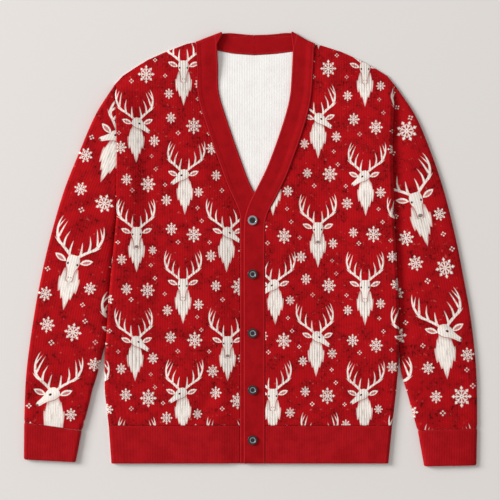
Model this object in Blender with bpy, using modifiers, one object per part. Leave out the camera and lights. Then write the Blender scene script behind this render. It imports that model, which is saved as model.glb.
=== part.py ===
"""A knitted V-neck cardigan, buttoned and laid flat on its back, in metres with +Z up.

+X is the wearer's left, +Y runs from the hem to the neck, and the back panel rests on z = 0.
Each cloth piece is a wall: rows of points on its plain inside, thickened outwards. Where the knit is
ribbed, every other column of points is thickened a little more. Pieces stand SEAM_GAP apart at seams.
"""

import math

import bmesh
import bpy
import numpy as np

# Knit
WALL = 0.0020
BAND_WALL = 0.0026
RIB_HEIGHT = 0.0007
RIB_PITCH = 0.0042
SLEEVE_RIBS = 20
COLUMNS_A_RIB = 2
SEAM_GAP = 0.0003
BESIDE_BAND = 1.5 * SEAM_GAP  # between a band's sewn edge and the front's first column
BESIDE_CURVE = 2 * SEAM_GAP  # between two lines whose bends don't fall at the same places

# Heights of the insides above the floor, layer by layer
FRONT_LOW = WALL + SEAM_GAP  # a front where it rests on the back
FRONT_PUFF = 0.0022  # how much higher it lies away from its edges
UNDER_BAND_LOW = WALL + SEAM_GAP
TOP_BAND_LOW = UNDER_BAND_LOW + BAND_WALL + SEAM_GAP
FOLD_RADIUS = 0.0008  # inside the band's fold over the shoulder
NECK_BAND_LOW = BAND_WALL + 2 * FOLD_RADIUS
EDGE_ROUND = 0.025  # from a free edge to the full height
SEAM_ROUND = 0.012  # from the armhole seam to the full height
ARMPIT_ROUND = 0.030  # over which a sleeve closes on the armhole seam above the armpit
SEAM_DIP = 0.35  # share of the puff lost at the armhole seam
BAND_ROUND = 0.035  # over which a front comes level with its band
ARMPIT_RISE = 0.040  # over which a front's edge lifts off the back to lie beside the sleeve

# Lines across the body
HEM_BOTTOM_Y = -0.3640
HEM_SEAM_Y = -0.2995
ARMPIT_Y = 0.0580
SHOULDER_TIP_Y = 0.2800
BAND_WIDTH = 0.0365
CENTRE_BACK_X = 0.0060
NECK_SPREAD_Y = (0.095, 0.200)  # where the bands part, and where each lies at its own height

# The body's edge from the hem to the shoulder tip: y, x at the wearer's right, x at the wearer's left
BODY_EDGE = (
    (HEM_BOTTOM_Y, -0.2360, 0.2340),
    (HEM_SEAM_Y, -0.2405, 0.2405),
    (-0.2400, -0.2475, 0.2475),
    (-0.1800, -0.2465, 0.2505),
    (-0.0600, -0.2360, 0.2455),
    (ARMPIT_Y, -0.2270, 0.2400),
    (SHOULDER_TIP_Y, -0.2300, 0.2435),
)
EDGE_SHARE = 0.25  # share of a front's columns that turn with that edge
FRONT_ROWS_Y = (HEM_SEAM_Y, -0.2400, -0.1800, -0.0600, ARMPIT_Y, 0.1500, 0.2300)  # at that edge

# Shoulder lines from the neck to the tip: distance from the frame's middle, y
SHOULDER = {
    "right": (
        (0.0952, 0.3510),
        (0.1080, 0.3485),
        (0.1437, 0.3349),
        (0.1743, 0.3213),
        (0.1964, 0.3077),
        (0.2168, 0.2941),
        (0.2300, SHOULDER_TIP_Y),
    ),
    "left": (
        (0.1110, 0.3468),
        (0.1210, 0.3455),
        (0.1539, 0.3349),
        (0.1845, 0.3213),
        (0.2100, 0.3077),
        (0.2320, 0.2941),
        (0.2435, SHOULDER_TIP_Y),
    ),
}

# Where each front band is sewn to its front, from the hem up to the shoulder: x, y
BAND_SEAM = {
    "right": (
        (-0.0179, HEM_BOTTOM_Y),
        (-0.0179, HEM_SEAM_Y),
        (-0.0179, -0.1200),
        (-0.0179, 0.0300),
        (-0.0205, 0.0650),
        (-0.0408, 0.1122),
        (-0.0740, 0.2064),
        (-0.0896, 0.2606),
        (-0.0915, 0.3100),
    ),
    "left": (
        (0.0250, HEM_BOTTOM_Y),
        (0.0250, HEM_SEAM_Y),
        (0.0250, -0.1200),
        (0.0250, 0.0200),
        (0.0285, 0.0560),
        (0.0451, 0.0901),
        (0.0643, 0.1306),
        (0.0886, 0.1984),
        (0.1022, 0.2499),
        (0.1065, 0.2980),
    ),
}
BAND_STEPS = 3  # sections for each row above
BAND_COLUMNS = 3
TOP_ROUNDS = 4  # tries that find where a slanting column ends

# The band behind the neck, from its fold at the shoulder to the middle: seam x, seam y, free x, free y
NECK_BAND = {
    "right": (
        (-0.0930, 0.3487, -0.0474, 0.3640),
        (-0.0780, 0.3435, -0.0360, 0.3625),
        (-0.0587, 0.3383, -0.0220, 0.3610),
        (-0.0300, 0.3325, -0.0080, 0.3595),
        (CENTRE_BACK_X - SEAM_GAP / 2, 0.3298, CENTRE_BACK_X - SEAM_GAP / 2, 0.3587),
    ),
    "left": (
        (0.1085, 0.3440, 0.0689, 0.3659),
        (0.0920, 0.3405, 0.0570, 0.3640),
        (0.0757, 0.3366, 0.0440, 0.3620),
        (0.0420, 0.3320, 0.0260, 0.3598),
        (CENTRE_BACK_X + SEAM_GAP / 2, 0.3298, CENTRE_BACK_X + SEAM_GAP / 2, 0.3587),
    ),
}
FOLD_ANGLES = (90, 45, 0, -45, -90)

# Sleeve sections from the armhole to the cuff: outer x, outer y, inner y, clear of the body's edge
SLEEVE = {
    "right": (
        (-0.2300, SHOULDER_TIP_Y, ARMPIT_Y, 0.0005),
        (-0.2630, 0.2280, 0.0300, 0.0010),
        (-0.2925, 0.1600, -0.0100, 0.0010),
        (-0.3180, 0.0950, -0.0550, 0.0010),
        (-0.3410, 0.0150, -0.1050, 0.0010),
        (-0.3580, -0.0600, -0.1550, 0.0010),
        (-0.3710, -0.1350, -0.2050, 0.0110),
        (-0.3810, -0.2150, -0.2550, 0.0265),
        (-0.3845, -0.2940, -0.3077, 0.0465),
    ),
    "left": (
        (0.2440, SHOULDER_TIP_Y, ARMPIT_Y, 0.0005),
        (0.2800, 0.2260, 0.0300, 0.0010),
        (0.3060, 0.1650, -0.0100, 0.0010),
        (0.3280, 0.1000, -0.0550, 0.0010),
        (0.3470, 0.0250, -0.1050, 0.0010),
        (0.3620, -0.0500, -0.1550, 0.0010),
        (0.3750, -0.1250, -0.2050, 0.0050),
        (0.3835, -0.2100, -0.2550, 0.0235),
        (0.3850, -0.3040, -0.3077, 0.0440),
    ),
}

# Cuff sections from the sleeve down: outer x, outer y, inner x, inner y
CUFF = {
    "right": (
        (-0.3843, -0.2946, -0.2867, -0.3083),
        (-0.3848, -0.3570, -0.2970, -0.3618),
    ),
    "left": (
        (0.3848, -0.3045, 0.2841, -0.3082),
        (0.3834, -0.3672, 0.2950, -0.3690),
    ),
}
TUBE_GAP = 0.0012  # between a sleeve's two layers at its side folds
TUBE_PUFF = 0.0024  # how much wider the gap is inside
TUBE_UNDERSIDE_COLUMNS = 8

# Soft folds: x, y, direction in degrees from +X, half length, half width, height
FOLDS = (
    (-0.2080, 0.1450, 84, 0.070, 0.014, 0.0010),
    (-0.1750, 0.0150, 100, 0.075, 0.026, -0.0011),
    (-0.0900, -0.2450, 62, 0.065, 0.012, -0.0010),
    (-0.1200, -0.2300, 66, 0.060, 0.016, 0.0008),
    (0.1250, -0.3250, 4, 0.055, 0.020, -0.0007),
    (0.1900, -0.0500, 95, 0.090, 0.022, 0.0007),
    (0.1050, 0.1100, 112, 0.060, 0.018, -0.0007),
    (-0.3560, -0.2450, 38, 0.034, 0.009, -0.0010),
    (-0.3500, -0.2150, 40, 0.030, 0.010, 0.0009),
    (-0.3000, 0.0500, 66, 0.060, 0.014, 0.0008),
    (0.3550, -0.2350, 140, 0.034, 0.010, -0.0010),
    (0.3100, 0.0300, 112, 0.070, 0.014, -0.0008),
    (0.3300, -0.1400, 104, 0.050, 0.012, 0.0008),
)

# Buttons: the place of each, from the neck down, and the sizes of one
BUTTON_X = 0.0035
BUTTON_Y = (0.0486, -0.0427, -0.1428, -0.2390, -0.3240)
BUTTON_RADIUS = 0.0080
BUTTON_THICKNESS = 0.0026
BUTTON_STEPS = 20
HOLES = 4
HOLE_RADIUS = 0.0009
HOLE_OFFSET = 0.0018
HOLE_STEPS = 8
# From the middle of the dished top, over the rim, to the middle underneath: share of radius, of thickness
BUTTON_PROFILE = (
    (0.00, 0.7),
    (0.62, 0.7),
    (0.78, 1.0),
    (0.95, 1.0),
    (1.00, 0.7),
    (0.85, 0.0),
    (0.00, 0.0),
)

SIGN = {"right": -1.0, "left": 1.0}
COLUMN = {"right": 1, "left": 2}  # in BODY_EDGE

FINISHES = {
    "printed_knit": ((0.351, 0.006, 0.0075), 0.85),
    "band_knit": ((0.323, 0.005, 0.0075), 0.85),
    "rib_trim": ((0.330, 0.006, 0.010), 0.85),
    "button": ((0.020, 0.019, 0.021), 0.35),
}


def clear_scene():
    for old in list(bpy.data.objects):
        bpy.data.objects.remove(old, do_unlink=True)


def new_collection(name):
    made = bpy.data.collections.new(name)
    bpy.context.scene.collection.children.link(made)
    return made


def finish(name):
    """The named finish, as a material with a Principled BSDF."""
    made = bpy.data.materials.get(name)
    if made is None:
        colour, roughness = FINISHES[name]
        made = bpy.data.materials.new(name)
        made.use_nodes = True
        shader = made.node_tree.nodes["Principled BSDF"]
        shader.inputs["Base Color"].default_value = (*colour, 1.0)
        shader.inputs["Roughness"].default_value = roughness
        shader.inputs["Metallic"].default_value = 0.0
    return made


def ramp(t):
    """0 up to t = 0, 1 from t = 1, and a soft slope between."""
    t = min(max(t, 0.0), 1.0)
    return t * t * (3.0 - 2.0 * t)


def smooth_path(points, steps):
    """Points on a curve through the given ones, with this many steps between two of them."""
    given = np.array(points)
    ends = np.vstack([2 * given[0] - given[1], given, 2 * given[-1] - given[-2]])
    path = []
    for i in range(len(given) - 1):
        before, start, stop, after = ends[i : i + 4]
        for t in np.arange(steps) / steps:
            path.append(
                0.5
                * (
                    2 * start
                    + (stop - before) * t
                    + (2 * before - 5 * start + 4 * stop - after) * t**2
                    + (3 * start - before - 3 * stop + after) * t**3
                )
            )
    path.append(given[-1])
    return np.array(path)


def folds(x, y):
    """Height of the soft folds at a place on the cloth."""
    height = 0.0
    for fold_x, fold_y, degrees, half_length, half_width, rise in FOLDS:
        turn = math.radians(degrees)
        along = (x - fold_x) * math.cos(turn) + (y - fold_y) * math.sin(turn)
        across = (y - fold_y) * math.cos(turn) - (x - fold_x) * math.sin(turn)
        height += rise * math.exp(-((along / half_length) ** 2) - (across / half_width) ** 2)
    return height


def body_edge(side, y):
    table = np.array(BODY_EDGE)
    return float(np.interp(y, table[:, 0], table[:, COLUMN[side]]))


def shoulder_y(side, x):
    table = np.array(SHOULDER[side])
    return float(np.interp(abs(x), table[:, 0], table[:, 1]))


def band_seam(side):
    """The sewn edge of a front band, from the hem to where it folds over the shoulder."""
    seam_x, seam_y = NECK_BAND[side][0][:2]
    return smooth_path((*BAND_SEAM[side], (seam_x, seam_y)), BAND_STEPS)


def band_low(side, y):
    """Height of a front band's inside: apart where the bands cross, and level above."""
    start = {"right": UNDER_BAND_LOW, "left": TOP_BAND_LOW}[side]
    return start + (NECK_BAND_LOW - start) * ramp(
        (y - NECK_SPREAD_Y[0]) / (NECK_SPREAD_Y[1] - NECK_SPREAD_Y[0])
    )


def front_low(side, x, y, seam):
    """Height of a front's inside at a place, level with the band, the back or the sleeve at its edges."""
    beside_sleeve = ramp((y - ARMPIT_Y) / ARMPIT_RISE)
    from_edge = abs(body_edge(side, y) - x)
    at_edge = (1 - beside_sleeve) * (1 - ramp(from_edge / EDGE_ROUND))
    at_armhole = beside_sleeve * SEAM_DIP * (1 - ramp(from_edge / SEAM_ROUND))
    below_shoulder = ramp((shoulder_y(side, x) - y) / EDGE_ROUND)
    share = below_shoulder * (1 - at_edge - at_armhole)
    open_height = FRONT_LOW + share * (FRONT_PUFF + folds(x, y))
    seam_x = float(np.interp(y, seam[:, 1], seam[:, 0]))
    by_band = (1 - ramp(abs(x - seam_x) / BAND_ROUND)) * below_shoulder
    return open_height + (band_low(side, y) - open_height) * by_band


def wall(name, rows, finish_name, parts, thickness, raised=None, tube=False):
    """A cloth piece from rows of inside points. raised gives each column's share of a rib's height."""
    columns = len(rows[0])
    mesh = bpy.data.meshes.new(name)
    shell = bmesh.new()
    points = [[shell.verts.new(place) for place in row] for row in rows]
    for lower, upper in zip(points, points[1:]):
        for i in range(columns if tube else columns - 1):
            j = (i + 1) % columns
            shell.faces.new((lower[i], lower[j], upper[j], upper[i]))
    shell.to_mesh(mesh)
    shell.free()
    piece = bpy.data.objects.new(name, mesh)
    parts.objects.link(piece)
    mesh.materials.append(finish(finish_name))
    solidify = piece.modifiers.new("wall", "SOLIDIFY")
    solidify.offset = 1.0
    solidify.thickness = thickness
    if raised is not None:
        group = piece.vertex_groups.new(name="rib")
        solidify.thickness = thickness + RIB_HEIGHT
        solidify.vertex_group = group.name
        for i, share in enumerate(raised):
            column = [row * columns + i for row in range(len(rows))]
            weight = (thickness + share * RIB_HEIGHT) / (thickness + RIB_HEIGHT)
            group.add(column, weight, "REPLACE")
    return piece


def facing_up(rows, side):
    """Rows whose columns run from the middle to the side, turned so that their faces point up."""
    return rows if side == "left" else [row[::-1] for row in rows]


def ribs_across(count):
    """Shares of a rib's height for the columns of this many ribs, low at both ends."""
    return [i % COLUMNS_A_RIB for i in range(count * COLUMNS_A_RIB + 1)]


class Front:
    """The columns of one front: ribs run straight up, and the outer ones follow the body's edge."""

    def __init__(self, side):
        self.side = side
        self.seam = band_seam(side)
        self.start = BAND_SEAM[side][0][0] + SIGN[side] * BESIDE_BAND
        self.stop = body_edge(side, ARMPIT_Y)
        self.ribs = round(abs(self.stop - self.start) / RIB_PITCH)
        self.columns = self.ribs * COLUMNS_A_RIB

    def x(self, column, y):
        share = column / self.columns
        straight = self.start + (self.stop - self.start) * share
        turned = ramp((share - 1 + EDGE_SHARE) / EDGE_SHARE)
        return straight + turned * (body_edge(self.side, y) - self.stop)

    def top(self, column):
        """The y where a column meets the neck or the shoulder."""
        rising = self.seam[self.seam[:, 1] > 0]
        neck_x = np.abs(rising[:, 0] + SIGN[self.side] * BESIDE_CURVE)
        shoulder = np.array(SHOULDER[self.side])
        line_x = np.maximum.accumulate([*neck_x, *shoulder[:, 0]])
        line_y = [*rising[:, 1], *shoulder[:, 1]]
        y = SHOULDER_TIP_Y
        for _ in range(TOP_ROUNDS):
            y = float(np.interp(abs(self.x(column, y)), line_x, line_y))
        return y

    def place(self, column, y):
        x = self.x(column, y)
        return x, y, front_low(self.side, x, y, self.seam)


def front_panel(side, parts):
    """One printed front, from the hem's seam to the neck, the shoulder and the armhole."""
    front = Front(side)
    tops = [front.top(column) for column in range(front.columns + 1)]
    bottom = HEM_SEAM_Y + SEAM_GAP / 2
    shares = [(y - HEM_SEAM_Y) / (tops[-1] - HEM_SEAM_Y) for y in FRONT_ROWS_Y] + [1.0]
    rows = [
        [front.place(i, bottom + (top - bottom) * share) for i, top in enumerate(tops)]
        for share in shares
    ]
    raised = ribs_across(front.ribs)
    wall(f"front_{side}", facing_up(rows, side), "printed_knit", parts, WALL, raised)


def hem_front(side, parts):
    """The ribbed hem below one front, level with it at the seam and down on the back at its edge."""
    front = Front(side)
    top = HEM_SEAM_Y - SEAM_GAP / 2
    rows = [
        [front.place(i, y) for i in range(front.columns + 1)] for y in (HEM_BOTTOM_Y, top)
    ]
    raised = ribs_across(front.ribs)
    wall(f"hem_front_{side}", facing_up(rows, side), "rib_trim", parts, WALL, raised)


def flat_piece(name, outline, finish_name, parts):
    """A plain panel that lies flat on the floor, from its outline."""
    curve = bpy.data.curves.new(name, "CURVE")
    curve.dimensions = "2D"
    curve.fill_mode = "BOTH"
    curve.extrude = WALL / 2
    spline = curve.splines.new("POLY")
    spline.points.add(len(outline) - 1)
    for point, (x, y) in zip(spline.points, outline):
        point.co = (x, y, 0.0, 1.0)
    spline.use_cyclic_u = True
    curve.materials.append(finish(finish_name))
    piece = bpy.data.objects.new(name, curve)
    piece.location.z = WALL / 2
    parts.objects.link(piece)


def back_panel(parts):
    """The back, whose neck follows the band behind it."""
    outline = []
    for side in ("right", "left"):
        half = [(body_edge(side, HEM_SEAM_Y), HEM_SEAM_Y + SEAM_GAP / 2)]
        between = [row for row in BODY_EDGE if HEM_SEAM_Y < row[0] < SHOULDER_TIP_Y]
        half += [(row[COLUMN[side]], row[0]) for row in between]
        half += [(SIGN[side] * x, y) for x, y in SHOULDER[side][::-1]]
        fold_x, fold_y = NECK_BAND[side][0][:2]
        half.append((fold_x + SIGN[side] * BESIDE_CURVE, fold_y - BESIDE_CURVE))
        half += [(seam_x, seam_y - BESIDE_CURVE) for seam_x, seam_y, *_ in NECK_BAND[side][1:]]
        outline += half if side == "right" else half[::-1]
    flat_piece("back_panel", outline, "printed_knit", parts)


def hem_back(parts):
    """The hem below the back."""
    top = HEM_SEAM_Y - SEAM_GAP / 2
    corners = [(body_edge("right", y), y) for y in (HEM_BOTTOM_Y, top)]
    corners += [(body_edge("left", y), y) for y in (top, HEM_BOTTOM_Y)]
    flat_piece("hem_back", corners, "rib_trim", parts)


def inset(line, toward):
    """The line of a tube's side fold moved in by the wall's thickness. toward is the sign of that way's X."""
    steps = np.gradient(np.array(line), axis=0)
    steps /= np.linalg.norm(steps, axis=1)[:, None]
    inward = np.column_stack([-steps[:, 1], steps[:, 0]])
    return np.array(line) + inward * np.sign(inward[:, :1]) * toward * WALL


def ring(start, stop):
    """Inside points round a flattened tube, along its underside from start to stop and back on top."""
    top_columns = SLEEVE_RIBS * COLUMNS_A_RIB
    points = []
    for i in range(TUBE_UNDERSIDE_COLUMNS):
        place = start + (stop - start) * i / TUBE_UNDERSIDE_COLUMNS
        points.append((*place, WALL if i else WALL + TUBE_GAP / 2))
    for i in range(top_columns):
        share = 1 - i / top_columns
        x, y = start + (stop - start) * share
        rounding = (1 - (2 * share - 1) ** 4) ** 0.5
        height = TUBE_GAP + rounding * (TUBE_PUFF + folds(x, y)) if i else TUBE_GAP / 2
        points.append((x, y, WALL + height))
    return points


def rings_between(outer, inner, side):
    """A flattened tube's rings, between the lines of its two side folds."""
    starts, stops = inset(outer, -SIGN[side]), inset(inner, SIGN[side])
    return [ring(start, stop) for start, stop in zip(starts, stops)]


def tube(name, rings, side, finish_name, parts):
    """A flattened tube from its rings, ribbed on top."""
    raised = [0] * TUBE_UNDERSIDE_COLUMNS + ribs_across(SLEEVE_RIBS)[:-1]
    rings = rings[::-1] if side == "left" else rings
    wall(name, rings, finish_name, parts, WALL, raised, tube=True)


def on_armhole(side, y, z):
    """A point of a sleeve's first ring, beside the armhole seam and further off at the armpit's fold."""
    off_fold = WALL * (1 - ramp((y - ARMPIT_Y) / ARMPIT_ROUND))
    return body_edge(side, y) + SIGN[side] * (BESIDE_CURVE + off_fold), y, z


def sleeve(side, parts):
    """A set-in sleeve whose sections fan from the armhole to the cuff, beside the body."""
    outer = [row[:2] for row in SLEEVE[side]]
    inner = [(body_edge(side, y) + SIGN[side] * clear, y) for _, _, y, clear in SLEEVE[side]]
    rings = rings_between(outer, inner, side)
    rings[0] = [on_armhole(side, y, z) for _, y, z in rings[0]]
    tube(f"sleeve_{side}", rings, side, "printed_knit", parts)


def cuff(side, parts):
    """The ribbed tube below a sleeve."""
    outer = [row[:2] for row in CUFF[side]]
    inner = [row[2:] for row in CUFF[side]]
    tube(f"cuff_{side}", rings_between(outer, inner, side), side, "rib_trim", parts)


def band_section(seam, free, height, side):
    """Points across a band, from its sewn edge to its free edge."""
    seam, free = np.array(seam), np.array(free)
    places = [seam + (free - seam) * i / BAND_COLUMNS for i in range(BAND_COLUMNS + 1)]
    points = [(*place, height) for place in places]
    return points if side == "right" else points[::-1]


def band(side, parts):
    """A front band: up the front, along the neck, over the shoulder and behind to the middle."""
    seam = band_seam(side)
    rows = []
    for i, place in enumerate(seam[:-1]):
        step = seam[i + 1] - seam[max(i - 1, 0)]
        step /= np.linalg.norm(step)
        across = np.array([step[1], -step[0]]) * -SIGN[side]
        free = place + across * BAND_WIDTH
        rows.append(band_section(place, free, band_low(side, place[1]), side))
    fold_seam, fold_free = np.array(NECK_BAND[side][0][:2]), np.array(NECK_BAND[side][0][2:])
    line = (fold_free - fold_seam) / np.linalg.norm(fold_free - fold_seam)
    outward = np.array([-line[1], line[0]]) * -SIGN[side]
    middle = BAND_WALL + FOLD_RADIUS
    for degrees in FOLD_ANGLES:
        turn = math.radians(degrees)
        shift = outward * FOLD_RADIUS * math.cos(turn)
        height = middle + FOLD_RADIUS * math.sin(turn)
        rows.append(band_section(fold_seam + shift, fold_free + shift, height, side))
    for row in NECK_BAND[side][1:]:
        rows.append(band_section(row[:2], row[2:], BAND_WALL, side))
    wall(f"band_{side}", rows, "band_knit", parts, BAND_WALL)


def button_mesh(helpers):
    """A dished button with a rim and four holes."""
    mesh = bpy.data.meshes.new("button_profile")
    points = [(out * BUTTON_RADIUS, 0.0, up * BUTTON_THICKNESS) for out, up in BUTTON_PROFILE]
    mesh.from_pydata(points, [(i, i + 1) for i in range(len(points) - 1)], [])
    turned = bpy.data.objects.new("button_profile", mesh)
    helpers.objects.link(turned)
    screw = turned.modifiers.new("turn", "SCREW")
    screw.steps = BUTTON_STEPS
    screw.render_steps = BUTTON_STEPS
    screw.use_merge_vertices = True
    screw.merge_threshold = 0.00001
    screw.use_smooth_shade = False
    cut = bmesh.new()
    for i in range(HOLES):
        turn = math.tau * (i + 0.5) / HOLES
        made = bmesh.ops.create_cone(
            cut,
            cap_ends=True,
            segments=HOLE_STEPS,
            radius1=HOLE_RADIUS,
            radius2=HOLE_RADIUS,
            depth=3 * BUTTON_THICKNESS,
        )
        shift = (HOLE_OFFSET * math.cos(turn), HOLE_OFFSET * math.sin(turn), 0.0)
        bmesh.ops.translate(cut, vec=shift, verts=made["verts"])
    cutter_mesh = bpy.data.meshes.new("button_holes")
    cut.to_mesh(cutter_mesh)
    cut.free()
    cutter = bpy.data.objects.new("button_holes", cutter_mesh)
    helpers.objects.link(cutter)
    holes = turned.modifiers.new("holes", "BOOLEAN")
    holes.operation = "DIFFERENCE"
    holes.object = cutter
    for helper in (turned, cutter):
        helper.hide_render = True
        helper.display_type = "WIRE"
    bpy.context.view_layer.update()
    graph = bpy.context.evaluated_depsgraph_get()
    return bpy.data.meshes.new_from_object(turned.evaluated_get(graph))


def buttons(parts, helpers):
    """Five buttons down the top band."""
    mesh = button_mesh(helpers)
    mesh.name = "button"
    mesh.materials.clear()
    mesh.materials.append(finish("button"))
    for i, y in enumerate(BUTTON_Y, 1):
        piece = bpy.data.objects.new(f"button_{i}", mesh)
        piece.location = (BUTTON_X, y, TOP_BAND_LOW + BAND_WALL + SEAM_GAP)
        parts.objects.link(piece)


def main():
    clear_scene()
    parts = new_collection("cardigan")
    helpers = new_collection("helpers")
    back_panel(parts)
    hem_back(parts)
    for side in ("right", "left"):
        front_panel(side, parts)
        hem_front(side, parts)
        sleeve(side, parts)
        cuff(side, parts)
        band(side, parts)
    buttons(parts, helpers)


main()
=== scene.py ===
"""A knitted V-neck cardigan, buttoned and laid flat on its back, in metres with +Z up.

+X is the wearer's left, +Y runs from the hem to the neck, and the back rests on z = 0. Each knitted
piece is a fine sheet on the form of its solid: a grid placed by the shapes below, given a wall whose
ribs stand proud. Its "knit" map counts metres across and along the ribs, and its "print" map metres of
printed cloth.
"""

import math
from functools import partial

import bpy
import numpy as np
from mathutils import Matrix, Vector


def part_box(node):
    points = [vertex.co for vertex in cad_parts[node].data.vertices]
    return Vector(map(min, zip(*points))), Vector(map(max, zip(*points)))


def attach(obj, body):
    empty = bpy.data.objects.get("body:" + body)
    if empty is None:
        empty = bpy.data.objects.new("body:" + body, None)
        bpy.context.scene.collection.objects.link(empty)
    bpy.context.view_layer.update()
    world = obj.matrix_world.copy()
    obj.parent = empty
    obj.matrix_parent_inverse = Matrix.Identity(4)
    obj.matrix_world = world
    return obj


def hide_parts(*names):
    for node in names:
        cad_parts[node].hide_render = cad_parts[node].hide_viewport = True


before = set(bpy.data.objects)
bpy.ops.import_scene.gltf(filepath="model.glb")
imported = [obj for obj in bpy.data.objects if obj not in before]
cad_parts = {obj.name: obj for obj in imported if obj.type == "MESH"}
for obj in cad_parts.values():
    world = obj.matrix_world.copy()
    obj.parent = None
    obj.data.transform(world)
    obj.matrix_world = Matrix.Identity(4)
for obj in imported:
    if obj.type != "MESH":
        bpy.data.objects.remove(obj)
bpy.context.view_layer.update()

# ---------------------------------------------------------------- sizes, as in the solids

WALL = 0.0020
BAND_WALL = 0.0026
RIB_PITCH = 0.0042
SEAM_GAP = 0.0003
BESIDE_CURVE = 2 * SEAM_GAP
CLOSE = 0.00006  # between two pieces that follow one fine line

FRONT_LOW = WALL + SEAM_GAP
FRONT_PUFF = 0.0022
UNDER_BAND_LOW = WALL + SEAM_GAP
TOP_BAND_LOW = UNDER_BAND_LOW + BAND_WALL + SEAM_GAP
FOLD_RADIUS = 0.0008
NECK_BAND_LOW = BAND_WALL + 2 * FOLD_RADIUS
# Distances over which the cloth comes down to an edge
EDGE_ROUND = 0.025
ARMPIT_ROUND = 0.030
BAND_ROUND = 0.035
ARMPIT_RISE = 0.040  # y over which a front's side becomes its armhole

HEM_BOTTOM_Y = -0.3640
HEM_SEAM_Y = -0.2995
ARMPIT_Y = 0.0580
SHOULDER_TIP_Y = 0.2800
BAND_WIDTH = 0.0365
CENTRE_BACK_X = 0.0060

# The body's edge: y, x at the wearer's right, x at the wearer's left
BODY_EDGE = (
    (HEM_BOTTOM_Y, -0.2360, 0.2340), (HEM_SEAM_Y, -0.2405, 0.2405), (-0.2400, -0.2475, 0.2475),
    (-0.1800, -0.2470, 0.2520), (-0.0850, -0.2410, 0.2512), (-0.0100, -0.2340, 0.2475),
    (ARMPIT_Y, -0.2275, 0.2435), (0.1700, -0.2262, 0.2395), (SHOULDER_TIP_Y, -0.2300, 0.2435),
)
EDGE_SHARE = 0.25  # share of a front's width whose columns turn with that edge

# Shoulder lines from the neck to the tip: distance from the frame's middle, y
SHOULDER = {
    "right": (
        (0.0952, 0.3510), (0.1080, 0.3485), (0.1437, 0.3349), (0.1743, 0.3213), (0.1964, 0.3077),
        (0.2168, 0.2941), (0.2300, SHOULDER_TIP_Y),
    ),
    "left": (
        (0.1110, 0.3468), (0.1210, 0.3455), (0.1539, 0.3349), (0.1845, 0.3213), (0.2100, 0.3077),
        (0.2320, 0.2941), (0.2435, SHOULDER_TIP_Y),
    ),
}

# Where each front band is sewn to its front, from the hem up to the shoulder: x, y
BAND_SEAM = {
    "right": (
        (-0.0179, HEM_BOTTOM_Y), (-0.0179, HEM_SEAM_Y), (-0.0179, -0.1200), (-0.0179, 0.0300),
        (-0.0205, 0.0650), (-0.0408, 0.1122), (-0.0740, 0.2064), (-0.0896, 0.2606), (-0.0915, 0.3100),
    ),
    "left": (
        (0.0250, HEM_BOTTOM_Y), (0.0250, HEM_SEAM_Y), (0.0250, -0.1200), (0.0250, 0.0200),
        (0.0285, 0.0560), (0.0451, 0.0901), (0.0643, 0.1306), (0.0886, 0.1984), (0.1022, 0.2499),
        (0.1065, 0.2980),
    ),
}

# The band behind the neck, from its fold at the shoulder to the middle: seam x, seam y, free x, free y
NECK_BAND = {
    "right": (
        (-0.0930, 0.3487, -0.0478, 0.3659), (-0.0780, 0.3435, -0.0360, 0.3668),
        (-0.0587, 0.3383, -0.0220, 0.3657), (-0.0300, 0.3325, -0.0080, 0.3643),
        (CENTRE_BACK_X - SEAM_GAP / 2, 0.3298, CENTRE_BACK_X - SEAM_GAP / 2, 0.3635),
    ),
    "left": (
        (0.1085, 0.3440, 0.0689, 0.3669), (0.0920, 0.3405, 0.0570, 0.3668),
        (0.0757, 0.3366, 0.0440, 0.3653), (0.0420, 0.3320, 0.0260, 0.3640),
        (CENTRE_BACK_X + SEAM_GAP / 2, 0.3298, CENTRE_BACK_X + SEAM_GAP / 2, 0.3635),
    ),
}

# Sleeve sections from the armhole to the cuff: outer x, outer y, inner y, clear of the body's edge
SLEEVE = {
    "right": (
        (-0.2300, SHOULDER_TIP_Y, ARMPIT_Y, 0.0003), (-0.2630, 0.2280, 0.0300, 0.0003),
        (-0.2925, 0.1600, -0.0100, 0.0003), (-0.3180, 0.0950, -0.0550, 0.0003),
        (-0.3410, 0.0150, -0.1050, 0.0003), (-0.3580, -0.0600, -0.1550, 0.0003),
        (-0.3710, -0.1350, -0.2050, 0.0110), (-0.3810, -0.2150, -0.2550, 0.0265),
        (-0.3845, -0.2940, -0.3077, 0.0465),
    ),
    "left": (
        (0.2440, SHOULDER_TIP_Y, ARMPIT_Y, 0.0003), (0.2800, 0.2260, 0.0300, 0.0003),
        (0.3060, 0.1650, -0.0100, 0.0003), (0.3280, 0.1000, -0.0550, 0.0003),
        (0.3470, 0.0250, -0.1050, 0.0003), (0.3620, -0.0500, -0.1550, 0.0003),
        (0.3750, -0.1250, -0.2050, 0.0050), (0.3835, -0.2100, -0.2550, 0.0235),
        (0.3850, -0.3040, -0.3077, 0.0440),
    ),
}

# Cuff sections from the sleeve down: outer x, outer y, inner x, inner y
CUFF = {
    "right": ((-0.3843, -0.2946, -0.2867, -0.3083), (-0.3848, -0.3570, -0.2970, -0.3618)),
    "left": ((0.3848, -0.3045, 0.2841, -0.3082), (0.3834, -0.3672, 0.2950, -0.3690)),
}
TUBE_GAP = 0.0012  # between the walls of a flattened tube at its side folds
TUBE_PUFF = 0.0024

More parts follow.
